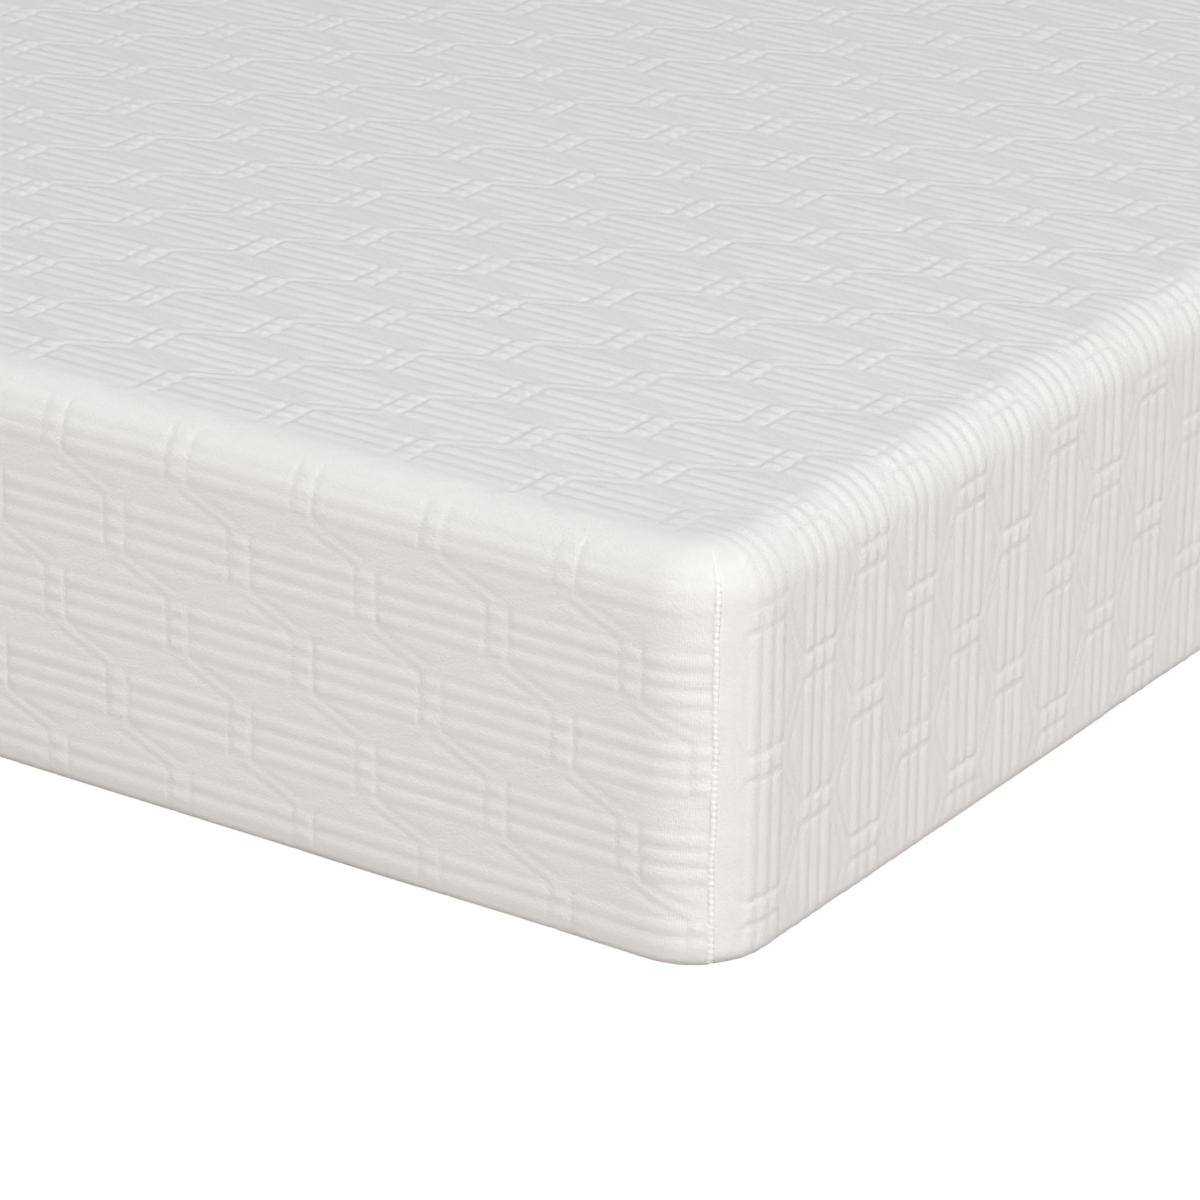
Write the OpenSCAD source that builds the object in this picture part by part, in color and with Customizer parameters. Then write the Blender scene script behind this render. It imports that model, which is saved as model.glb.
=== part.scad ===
// Memory foam mattress, single size, lying flat on its base.
// Three glued foam layers stand in a fire-retardant knit sock, inside a zip-off jacquard knit cover.
// X runs across the bed, +Y towards the head end, +Z up. The origin is the middle of the base.

/* [Mattress] */
// Width across the bed
mattress_w = 991; // [760:1:1930]
// Length from the foot face to the tip of the zip pull at the head
mattress_l = 1905; // [1700:1:2100]
// Height from the base to the sleeping surface
mattress_h = 203; // [200:1:305]

/* [Cover] */
// Thickness of the quilt-backed knit
cover_t = 2.4; // [2:0.1:3]
// Plan radius of the four vertical corners
corner_r = 42; // [36:1:60]
// Radius of the soft top edge
top_edge_r = 26; // [20:1:30]
// Radius of the edge that rolls under to the base
base_edge_r = 10; // [8:0.5:11]
// Width of the border that is turned under the base
turn_under_w = 16; // [15:0.5:24]
// Thickness of the plain base cloth
base_t = 2; // [1.2:0.1:2]

/* [Seams] */
// Width of the raised corner seams
corner_seam_w = 3.2; // [2.4:0.1:4]
// Height of the raised corner seams above the cover
corner_seam_h = 1; // [0.6:0.1:1.4]
// Width of the bound seam between the turned-under border and the base cloth
base_seam_w = 4; // [3:0.5:6]

/* [Foam core] */
// Thickness of the firm support foam
support_t = 112; // [90:1:115]
// Thickness of the transition foam
transition_t = 38; // [25:1:42]
// Thickness of one line of adhesive
film_t = 0.5; // [0.3:0.1:0.8]
// Distance from the foam's edge to the adhesive
film_inset = 12; // [8:1:24]

/* [Fire sock] */
// Thickness of the sock
sock_t = 1; // [0.8:0.1:1.4]
// Distance from each end of the sock to its closing seam
sock_end_l = 52; // [48:1:80]
// Width of the closing seams
sock_seam_w = 3; // [2:0.5:5]

/* [Zip] */
// Height of the zip's centre line above the base
zip_z = 28; // [27:1:40]
// Distance from a round corner to the end of the zip
zip_end_inset = 22; // [15:1:80]
// Half of the height of the slot that the zip shows through
zip_slot_half_h = 7; // [6:0.5:8]
// Height of each zip tape
zip_tape_w = 15.2; // [12:0.1:15.4]
// Width of one side of the coil
zip_coil_w = 2.6; // [2.2:0.1:2.6]
// Gap between the two sides of the coil, for the slider's post
zip_gap = 1.2; // [1.1:0.1:1.4]

/* [Care label] */
// Width of the blank label
label_w = 70; // [40:1:90]
// Height of the blank label
label_h = 45; // [30:1:60]

/* [Hidden] */

// Gaps between the layers, wide enough that curved faces never meet
side_gap = 0.6;
top_gap = 0.2;
core_gap = 0.3;
zip_room = 2.6;

// Facets of a full turn, and steps along an edge's quarter turn
turn_fn = 32;
edge_steps = 6;

// The slider and pull stand out from the head face by this much
pull_stand = 3.4;
head_face_y = mattress_l / 2 - pull_stand;
foot_face_y = -mattress_l / 2;
cover_l = head_face_y - foot_face_y;
cover_mid_y = (head_face_y + foot_face_y) / 2;

// The sock's outside
sock_w = mattress_w - 2 * (cover_t + side_gap);
sock_foot_y = foot_face_y + cover_t + side_gap;
sock_head_y = head_face_y - cover_t - zip_room;
sock_l = sock_head_y - sock_foot_y;
sock_mid_y = (sock_head_y + sock_foot_y) / 2;
sock_r = corner_r - cover_t - side_gap;
sock_z0 = cover_t + top_gap;
sock_z1 = mattress_h - cover_t - top_gap;
sock_top_r = top_edge_r - cover_t;
sock_base_r = base_edge_r - cover_t + 0.4;

// The foam's outside and the levels of its layers
foam_inset = sock_t + core_gap;
foam_w = sock_w - 2 * foam_inset;
foam_l = sock_l - 2 * foam_inset;
foam_r = sock_r - foam_inset;
support_z0 = sock_z0 + sock_t;
support_z1 = support_z0 + support_t;
transition_z0 = support_z1 + film_t;
transition_z1 = transition_z0 + transition_t;
memory_z0 = transition_z1 + film_t;
memory_z1 = sock_z1 - sock_t;

// Sides of the cover's opening underneath, which the base seam fills
opening_w = mattress_w - 2 * turn_under_w;
opening_l = cover_l - 2 * turn_under_w;
opening_r = corner_r - turn_under_w;
panel_w = opening_w - 2 * base_seam_w;
panel_l = opening_l - 2 * base_seam_w;
panel_r = opening_r - base_seam_w;

// The corner seams follow the corners' diagonal, and their upper ends stay below the sleeping surface
seam_lift = 0.1;
top_seam_sweep = asin(top_edge_r / (top_edge_r + corner_seam_h + seam_lift)) - 2;
base_seam_sweep = 60;
seam_steps = 8;

// Zip parts, which lie one behind another from the head face inwards
zip_half_l = mattress_w / 2 - corner_r - zip_end_inset;
tape_t = 0.6;
tape_overlap = 8;
tape_edge_gap = 0.2;
coil_t = 2;
coil_depth = cover_t - coil_t;
stop_l = 3.5;
stop_overlap = 0.5;
stop_depth = 0.1;

// Slider, closed at the +X end of the zip
slider_l = 11;
slider_w = 8.6;
slider_plate_t = 1.2;
slider_inner_t = 1;
slider_flange_t = 0.8;
slider_clear = 0.3;
slider_stop_gap = 3;
slider_x = zip_half_l - stop_l - slider_l / 2 - slider_stop_gap;
slider_outer_in = slider_clear - coil_depth;
slider_inner_out = -cover_t - tape_t - slider_clear;
slider_face = slider_outer_in + slider_plate_t;
post_l = 2.6;
post_w = zip_gap - 0.4;

// Bridge on the slider, and the pull tab that turns under it
bridge_l = 7;
bridge_w = 2.4;
bridge_leg = 1;
bridge_rise = pull_stand - slider_face;
bridge_bar_t = 0.8;
pin_r = 0.55;
pin_depth = slider_face + (bridge_rise - bridge_bar_t) / 2;
tab_arm_gap = 0.3;
tab_l = 22;
tab_w = 6.4;
tab_arm_l = 6;
tab_arm_w = 1.1;
tab_slot_l = 11;
tab_slot_w = 2.6;

// Outline of a rectangle with round corners, centred on the origin
function rounded_outline(w, l, r, n = 8) = [
    for (quarter = [0:3], step = [0:n])
        let (a = 90 * quarter + 90 * step / n)
        let (sx = quarter == 0 || quarter == 3 ? 1 : -1)
        let (sy = quarter < 2 ? 1 : -1)
        [sx * (w / 2 - r) + r * cos(a), sy * (l / 2 - r) + r * sin(a)]];

// Quarter turn of an edge, from angle a0, about its own centre
function edge_arc(r, z, fillet, a0) = [
    for (step = [0:edge_steps])
        let (a = a0 + 90 * step / edge_steps)
        [r - fillet + fillet * cos(a), z + fillet * sin(a)]];

// Half section of a corner post with a rounded foot and head
function post_section(r, z0, z1, foot_r, head_r) = concat(
    [[0, z0]],
    foot_r > 0 ? edge_arc(r, z0 + foot_r, foot_r, -90) : [[r, z0]],
    head_r > 0 ? edge_arc(r, z1 - head_r, head_r, 0) : [[r, z1]],
    [[0, z1]]);

// Slab with round corners and soft edges, centred on mid_y
module soft_slab(w, l, mid_y, r, z0, z1, foot_r, head_r) {
    hull()
        for (sx = [-1, 1], sy = [-1, 1])
            translate([sx * (w / 2 - r), mid_y + sy * (l / 2 - r), 0])
                rotate_extrude($fn = turn_fn)
                    polygon(post_section(r, z0, z1, foot_r, head_r));
}

// Flat plate with round corners
module plate(w, l, mid_y, r, z0, z1) {
    translate([0, mid_y, z0])
        linear_extrude(height = z1 - z0)
            polygon(rounded_outline(w, l, r));
}

// Whole cover, open underneath inside the turned-under border
module cover_shell() {
    difference() {
        soft_slab(mattress_w, cover_l, cover_mid_y, corner_r, 0, mattress_h, base_edge_r, top_edge_r);
        soft_slab(mattress_w - 2 * cover_t, cover_l - 2 * cover_t, cover_mid_y, corner_r - cover_t,
                  cover_t, mattress_h - cover_t, base_edge_r - cover_t, top_edge_r - cover_t);
        plate(opening_w, opening_l, cover_mid_y, opening_r, -1, cover_t + 1);
    }
}

// Block at the head face over the zip's length, up to height top_z
module zip_block(top_z) {
    depth = turn_under_w + 14;
    translate([-zip_half_l, head_face_y - depth, -1])
        cube([2 * zip_half_l, depth + 1, top_z + 1]);
}

module cover_top_border() {
    color("whitesmoke")
        difference() {
            cover_shell();
            zip_block(zip_z + zip_slot_half_h);
        }
}

module cover_head_strip() {
    color("whitesmoke")
        intersection() {
            cover_shell();
            zip_block(zip_z - zip_slot_half_h);
        }
}

// Section of a raised seam: x is away from the cover, y is across the seam
function seam_section() = [
    for (p = [[0, 0.5], [0.6, 0.46], [0.95, 0.25], [1, 0], [0.95, -0.25], [0.6, -0.46], [0, -0.5]])
        [p[0] * corner_seam_h, p[1] * corner_seam_w]];

// The seam's section where it crosses an edge's round, at angle a from the horizontal
function seam_ring(edge_r, z, a) = [
    for (p = seam_section())
        let (reach = edge_r + seam_lift + p[0])
        [corner_r - edge_r + reach * cos(a), p[1], z + reach * sin(a)]];

// Raised seam down one corner, from the top edge to where the border rolls under
module corner_seam(side_x, side_y) {
    turn = side_x > 0 ? (side_y > 0 ? 45 : -45) : (side_y > 0 ? 135 : -135);
    rings = concat(
        [for (step = [0:seam_steps])
            seam_ring(base_edge_r, base_edge_r, base_seam_sweep * (step / seam_steps - 1))],
        [for (step = [0:seam_steps])
            seam_ring(top_edge_r, mattress_h - top_edge_r, top_seam_sweep * step / seam_steps)]);
    n = len(seam_section());
    last = len(rings) - 1;
    sides = [
        for (ring = [0:last - 1], k = [0:n - 1])
            let (next = (k + 1) % n)
            [ring * n + k, ring * n + next, (ring + 1) * n + next, (ring + 1) * n + k]];
    caps = [[for (k = [n - 1:-1:0]) k], [for (k = [0:n - 1]) last * n + k]];
    color("white")
        translate([side_x * (mattress_w / 2 - corner_r),
                   cover_mid_y + side_y * (cover_l / 2 - corner_r), 0])
            rotate([0, 0, turn])
                polyhedron(points = [for (ring = rings) each ring], faces = concat(sides, caps));
}

module corner_seam_foot_left() { corner_seam(-1, -1); }
module corner_seam_foot_right() { corner_seam(1, -1); }
module corner_seam_head_left() { corner_seam(-1, 1); }
module corner_seam_head_right() { corner_seam(1, 1); }

module base_seam() {
    color("gainsboro")
        translate([0, cover_mid_y, 0])
            linear_extrude(height = cover_t)
                difference() {
                    polygon(rounded_outline(opening_w, opening_l, opening_r));
                    polygon(rounded_outline(panel_w, panel_l, panel_r));
                }
}

module base_panel() {
    color("lightgray") plate(panel_w, panel_l, cover_mid_y, panel_r, 0, base_t);
}

module care_label() {
    label_t = 0.4;
    label_x = -250;
    label_z = 58;
    color("white")
        translate([label_x, head_face_y, label_z])
            cube([label_w, label_t, label_h]);
}

// Foam layers, glued one on another
module support_foam() {
    base_r = sock_base_r - sock_t;
    color("lavender")
        soft_slab(foam_w, foam_l, sock_mid_y, foam_r, support_z0, support_z1, base_r, 0);
}

module transition_foam() {
    color("aliceblue") plate(foam_w, foam_l, sock_mid_y, foam_r, transition_z0, transition_z1);
}

module memory_foam() {
    crown_r = sock_top_r - sock_t;
    color("lightyellow")
        soft_slab(foam_w, foam_l, sock_mid_y, foam_r, memory_z0, memory_z1, 0, crown_r);
}

module adhesive_film(z0) {
    film_r = foam_r - film_inset;
    color("khaki")
        plate(foam_w - 2 * film_inset, foam_l - 2 * film_inset, sock_mid_y, film_r, z0, z0 + film_t);
}

module adhesive_film_lower() { adhesive_film(support_z1); }
module adhesive_film_upper() { adhesive_film(transition_z1); }

// Part of the sock's shell between two places along Y
module sock_length(y0, y1) {
    intersection() {
        difference() {
            soft_slab(sock_w, sock_l, sock_mid_y, sock_r, sock_z0, sock_z1, sock_base_r, sock_top_r);
            soft_slab(sock_w - 2 * sock_t, sock_l - 2 * sock_t, sock_mid_y, sock_r - sock_t,
                      sock_z0 + sock_t, sock_z1 - sock_t, sock_base_r - sock_t, sock_top_r - sock_t);
        }
        translate([-mattress_w / 2, y0, -1])
            cube([mattress_w, y1 - y0, mattress_h + 2]);
    }
}

sock_seam_head_y = sock_head_y - sock_end_l;
sock_seam_foot_y = sock_foot_y + sock_end_l;

module fire_sock_sleeve() {
    color("ivory")
        sock_length(sock_seam_foot_y + sock_seam_w / 2, sock_seam_head_y - sock_seam_w / 2);
}

module fire_sock_end_head() {
    color("ivory") sock_length(sock_seam_head_y + sock_seam_w / 2, sock_head_y + 1);
}

module fire_sock_end_foot() {
    color("ivory") sock_length(sock_foot_y - 1, sock_seam_foot_y - sock_seam_w / 2);
}

module fire_sock_seam_head() {
    color("beige") sock_length(sock_seam_head_y - sock_seam_w / 2, sock_seam_head_y + sock_seam_w / 2);
}

module fire_sock_seam_foot() {
    color("beige") sock_length(sock_seam_foot_y - sock_seam_w / 2, sock_seam_foot_y + sock_seam_w / 2);
}

// Bar along the zip: depth is from the head face to the bar's face, z is its lower edge
module zip_bar(half_l, depth, t, z, h) {
    translate([-half_l, head_face_y - depth - t, z])
        cube([2 * half_l, t, h]);
}

module zip_tape(side) {
    edge = zip_gap / 2 + tape_edge_gap;
    z = side > 0 ? zip_z + edge : zip_z - edge - zip_tape_w;
    color("white") zip_bar(zip_half_l + tape_overlap, cover_t, tape_t, z, zip_tape_w);
}

module zip_tape_upper() { zip_tape(1); }
module zip_tape_lower() { zip_tape(-1); }

module zip_coil(side) {
    z = side > 0 ? zip_z + zip_gap / 2 : zip_z - zip_gap / 2 - zip_coil_w;
    color("white") zip_bar(zip_half_l - stop_l, coil_depth, coil_t, z, zip_coil_w);
}

module zip_coil_upper() { zip_coil(1); }
module zip_coil_lower() { zip_coil(-1); }

// One metal clamp across both coils at each end of the zip
module zip_end_stops() {
    stop_h = zip_gap + 2 * (zip_coil_w + stop_overlap);
    color("silver")
        for (side = [-1, 1])
            translate([side * (zip_half_l - stop_l / 2) - stop_l / 2, head_face_y - cover_t,
                       zip_z - stop_h / 2])
                cube([stop_l, cover_t - stop_depth, stop_h]);
}

// Slider: an outer and an inner plate joined by a post between the coils, and a bridge for the pull
module zip_slider_body() {
    flange_h = cover_t + slider_outer_in - slider_clear;
    post_y = slider_inner_out - slider_inner_t / 2;
    color("silver")
        translate([slider_x, head_face_y, zip_z]) {
            translate([-slider_l / 2, slider_outer_in, -slider_w / 2])
                cube([slider_l, slider_plate_t, slider_w]);
            for (side = [-1, 1])
                translate([-slider_l / 2, slider_outer_in - flange_h,
                           side * (slider_w - slider_flange_t) / 2 - slider_flange_t / 2])
                    cube([slider_l, flange_h, slider_flange_t]);
            translate([-slider_l / 2, slider_inner_out - slider_inner_t, -slider_w / 2])
                cube([slider_l, slider_inner_t, slider_w]);
            translate([slider_l / 2 - post_l, post_y, -post_w / 2])
                cube([post_l, slider_face - slider_plate_t / 2 - post_y, post_w]);
            translate([-bridge_l / 2, slider_face, -bridge_w / 2])
                difference() {
                    cube([bridge_l, bridge_rise, bridge_w]);
                    translate([bridge_leg, -1, -1])
                        cube([bridge_l - 2 * bridge_leg, bridge_rise - bridge_bar_t + 1, bridge_w + 2]);
                }
        }
}

// Pull tab: a pin under the bridge, two arms and a slotted blade that lies along the zip
module zip_pull_tab() {
    arm_z = bridge_w / 2 + tab_arm_gap;
    pin_l = 2 * (arm_z + tab_arm_w);
    blade_l = tab_l - tab_arm_l - tab_w / 2;
    color("silver")
        translate([slider_x, head_face_y + pin_depth, zip_z]) {
            translate([0, 0, -pin_l / 2])
                cylinder(h = pin_l, r = pin_r, $fn = 32);
            for (side = [-1, 1])
                translate([-tab_arm_l - 1, -pin_r, side * (arm_z + tab_arm_w / 2) - tab_arm_w / 2])
                    cube([tab_arm_l + 1, 2 * pin_r, tab_arm_w]);
            rotate([90, 0, 0])
                linear_extrude(height = 2 * pin_r, center = true)
                    difference() {
                        union() {
                            translate([-tab_arm_l - blade_l, -tab_w / 2])
                                square([blade_l, tab_w]);
                            translate([-tab_arm_l - blade_l, 0])
                                circle(d = tab_w, $fn = 48);
                        }
                        translate([-tab_arm_l - blade_l + 1, -tab_slot_w / 2])
                            square([tab_slot_l, tab_slot_w]);
                    }
        }
}

support_foam();
transition_foam();
memory_foam();
adhesive_film_lower();
adhesive_film_upper();
fire_sock_sleeve();
fire_sock_end_head();
fire_sock_end_foot();
fire_sock_seam_head();
fire_sock_seam_foot();
cover_top_border();
cover_head_strip();
corner_seam_foot_left();
corner_seam_foot_right();
corner_seam_head_left();
corner_seam_head_right();
base_seam();
base_panel();
care_label();
zip_tape_upper();
zip_tape_lower();
zip_coil_upper();
zip_coil_lower();
zip_end_stops();
zip_slider_body();
zip_pull_tab();
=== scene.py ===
"""Looks of the memory foam mattress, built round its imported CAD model. Shapes are worked out in millimetres."""
import math

import bpy
import numpy as np
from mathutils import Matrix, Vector


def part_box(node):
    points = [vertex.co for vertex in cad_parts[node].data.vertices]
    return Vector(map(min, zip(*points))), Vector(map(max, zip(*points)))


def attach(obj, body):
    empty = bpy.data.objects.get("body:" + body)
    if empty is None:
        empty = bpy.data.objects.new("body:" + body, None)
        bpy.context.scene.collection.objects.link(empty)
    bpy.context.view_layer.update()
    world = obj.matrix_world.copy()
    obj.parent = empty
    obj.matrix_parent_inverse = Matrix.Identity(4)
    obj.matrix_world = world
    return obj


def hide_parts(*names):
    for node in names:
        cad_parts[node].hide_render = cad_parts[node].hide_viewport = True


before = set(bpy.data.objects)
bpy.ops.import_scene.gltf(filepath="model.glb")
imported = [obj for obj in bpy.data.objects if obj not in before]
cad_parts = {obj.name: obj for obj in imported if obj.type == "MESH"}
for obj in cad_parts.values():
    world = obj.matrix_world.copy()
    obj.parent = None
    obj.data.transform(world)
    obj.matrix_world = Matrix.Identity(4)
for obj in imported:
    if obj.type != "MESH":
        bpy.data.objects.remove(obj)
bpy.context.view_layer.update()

MM = 0.001

# Cover, as in the CAD
CORNER_R = 42.0
TOP_EDGE_R = 26.0
BASE_EDGE_R = 10.0
TURN_UNDER = 16.0
COVER_T = 2.4
SLOT_Z0, SLOT_Z1, SLOT_HALF = 21.0, 35.0, 431.5
SEAM_W, SEAM_H = 3.0, 0.95
BASE_CLOTH_T = 0.8
SOCK_GAP = 0.6
SOCK_END = 52.0

# Honeycomb knit: repeat along X, row pitch along Y, and where one cell lies
CELL_P, ROW_P = 72.1, 43.3
CELL_S, CELL_T = 409.7, -1000.1
BAND_HALF = 6.0
DIAGONAL_HALF = 2.7
RIB_AT, RIB_HALF = 9.0, 4.25
THIN_HALF = 4.0
SHORT_AT, SHORT_HALF, SHORT_LEN = 18.2, 3.6, 11.0
LADDER_MID_HALF, LADDER_SIDE_HALF = 2.9, 3.0
RIB_H, THIN_H, SHORT_H, GROOVE_D = 1.0, 0.8, 0.3, 0.8
BAND_LEVEL, TIP_LEVEL, LADDER_H = 0.45, 0.42, 0.85
EDGE_SOFT = 1.5
GROOVE_W, GROOVE_OUT = 1.0, 0.4
PAIR_MEAN, PAIR_SPREAD, PAIR_SOFT = 0.5, 0.38, 3.0

# Cover: the height kept as its mean, how much deeper the top's knit is, and the height where the knit fades out
RELIEF_MEAN = 0.65
TOP_GAIN = 1.25
FADED_LEVEL = 0.55
# Share of the knit lost beside the long sides' seams, round corners, along the ends' upper edge and at the base
STRIP_LOSS, CORNER_LOSS, EDGE_LOSS, BASE_LOSS = 0.8, 0.5, 0.45, 0.6
SEAM_LEVEL_LONG, SEAM_LEVEL_SHORT, SEAM_DIP_W = -0.1, 0.5, 1.8
SWAY = ((0.35, 17.0), (0.2, 6.1))
SEAM_PITCH = 3.1

# Mesh pitch of the cover
PITCH = 1.7
NOISE_CELLS = 64
UP = np.array([0, 0, 1.0])


# ---------- meshes ----------

def box_mm(*nodes):
    """Lowest and highest corner of these CAD nodes together, in millimetres."""
    boxes = [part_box(n) for n in nodes]
    lo = np.min([np.array(b[0]) for b in boxes], axis=0)
    hi = np.max([np.array(b[1]) for b in boxes], axis=0)
    return lo / MM, hi / MM


def new_piece(name, points, faces, material, node=None, uv=None, values=None):
    """Mattress piece from points in millimetres, with UVs per face corner and a value per point if given."""
    mesh = bpy.data.meshes.new(name)
    faces = [np.asarray(f, dtype=np.int32) for f in (faces if isinstance(faces, list) else [faces]) if len(f)]
    points = np.asarray(points, dtype=float)
    corners = np.concatenate([f.ravel() for f in faces])
    totals = np.concatenate([np.full(len(f), f.shape[1], dtype=np.int32) for f in faces])
    starts = np.concatenate([[0], np.cumsum(totals)[:-1]]).astype(np.int32)
    mesh.vertices.add(len(points))
    mesh.vertices.foreach_set("co", (points * MM).astype(np.float32).ravel())
    mesh.loops.add(len(corners))
    mesh.loops.foreach_set("vertex_index", corners.astype(np.int32))
    mesh.polygons.add(len(totals))
    mesh.polygons.foreach_set("loop_start", starts)
    mesh.polygons.foreach_set("use_smooth", np.full(len(totals), True))
    mesh.update(calc_edges=True)
    if uv is not None:
        layer = mesh.uv_layers.new(name="fabric")
        layer.data.foreach_set("uv", (np.asarray(uv) * MM).astype(np.float32).ravel())
    if values is not None:
        attribute = mesh.attributes.new("relief", "FLOAT", "POINT")
        attribute.data.foreach_set("value", np.asarray(values, dtype=np.float32))
    mesh.validate()
    obj = bpy.data.objects.new(name, mesh)
    bpy.context.scene.collection.objects.link(obj)
    mesh.materials.append(material)
    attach(obj, "mattress")
    if node:
        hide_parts(node)
    return obj


def compact(points, faces, *per_point):
    """Keeps only the points that the faces use."""
    used = np.unique(faces)
    index = np.full(len(points), -1)
    index[used] = np.arange(len(used))
    return (points[used], index[faces]) + tuple(v[used] for v in per_point)


def joined(parts):
    """One point array and one face array from several (points, faces) pairs."""
    points, faces, base = [], [], 0
    for p, f in parts:
        points.append(p)
        faces.append(np.asarray(f) + base)
        base += len(p)
    return np.concatenate(points), np.concatenate(faces)


def grid_faces(rows, cols, closed=False):
    """Quads of a grid of points stored row by row; closed joins the last column to the first."""
    i, j = np.meshgrid(np.arange(rows - 1), np.arange(cols if closed else cols - 1), indexing="ij")
    k = (j + 1) % cols
    return np.stack([i * cols + j, i * cols + k, (i + 1) * cols + k, (i + 1) * cols + j], -1).reshape(-1, 4)


def closed_sheet(first, second):
    """Two grids of points, joined round their rims into a closed thin sheet."""
    rows, cols = first.shape[:2]
    count = rows * cols
    faces = grid_faces(rows, cols)
    rim = np.concatenate([np.arange(cols), np.arange(1, rows) * cols + cols - 1,
                          (rows - 1) * cols + np.arange(cols - 2, -1, -1), np.arange(rows - 2, 0, -1) * cols])
    nxt = np.roll(rim, -1)
    wall = np.stack([rim, nxt, nxt + count, rim + count], -1)
    points = np.concatenate([first.reshape(-1, 3), second.reshape(-1, 3)])
    return points, np.concatenate([faces[:, ::-1], faces + count, wall])


def tube(path, across, up, half_w, half_h, sides, closed=False):
    """Points, quads and end triangles of an elliptical tube, wide along across and high along up."""
    a = np.linspace(0, 2 * math.pi, sides, endpoint=False)
    half_w, half_h = (np.broadcast_to(np.asarray(h, float).reshape(-1, 1, 1), (len(path), 1, 1))
                      for h in (half_w, half_h))
    ring = (across[:, None] * np.cos(a)[None, :, None] * half_w
            + up[:, None] * np.sin(a)[None, :, None] * half_h)
    points = (path[:, None] + ring).reshape(-1, 3)
    faces = grid_faces(len(path), sides, closed=True)
    last = (len(path) - 1) * sides
    i = np.arange(sides)
    k = (i + 1) % sides
    if closed:
        faces = np.concatenate([faces, np.stack([last + i, last + k, k, i], -1)])
        return points, faces, np.zeros((0, 3), dtype=int)
    points = np.concatenate([points, path[:1], path[-1:]])
    head, tail = len(points) - 2, len(points) - 1
    caps = np.concatenate([np.stack([k, i, np.full(sides, head)], -1),
                           np.stack([last + i, last + k, np.full(sides, tail)], -1)])
    return points, faces, caps


def joined_tubes(tubes):
    """Quads and triangles of several tubes as one mesh."""
    points, quads = joined([(p, q) for p, q, _ in tubes])
    return points, [quads, joined([(p, t) for p, _, t in tubes])[1]]


def value_noise(x, y, scale, seed):
    """Smooth noise from -1 to 1 over a plane, from a seeded table of random values."""
    table = np.random.default_rng(seed).uniform(-1, 1, (NOISE_CELLS, NOISE_CELLS))
    u, v = x / scale, y / scale
    i, j = np.floor(u).astype(int), np.floor(v).astype(int)
    fu, fv = u - i, v - j
    fu, fv = fu * fu * (3 - 2 * fu), fv * fv * (3 - 2 * fv)

    def at(a, b):
        return table[a % NOISE_CELLS, b % NOISE_CELLS]

    low = at(i, j) * (1 - fu) + at(i + 1, j) * fu
    high = at(i, j + 1) * (1 - fu) + at(i + 1, j + 1) * fu
    return low * (1 - fv) + high * fv


def unit(vectors):
    return vectors / np.linalg.norm(vectors, axis=1)[:, None]


def step(edge0, edge1, x):
    """Smooth step from 0 at edge0 to 1 at edge1."""
    f = np.clip((x - edge0) / (edge1 - edge0), 0, 1)
    return f * f * (3 - 2 * f)


# ---------- the shell that the cover, the sock and the foams share ----------

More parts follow.
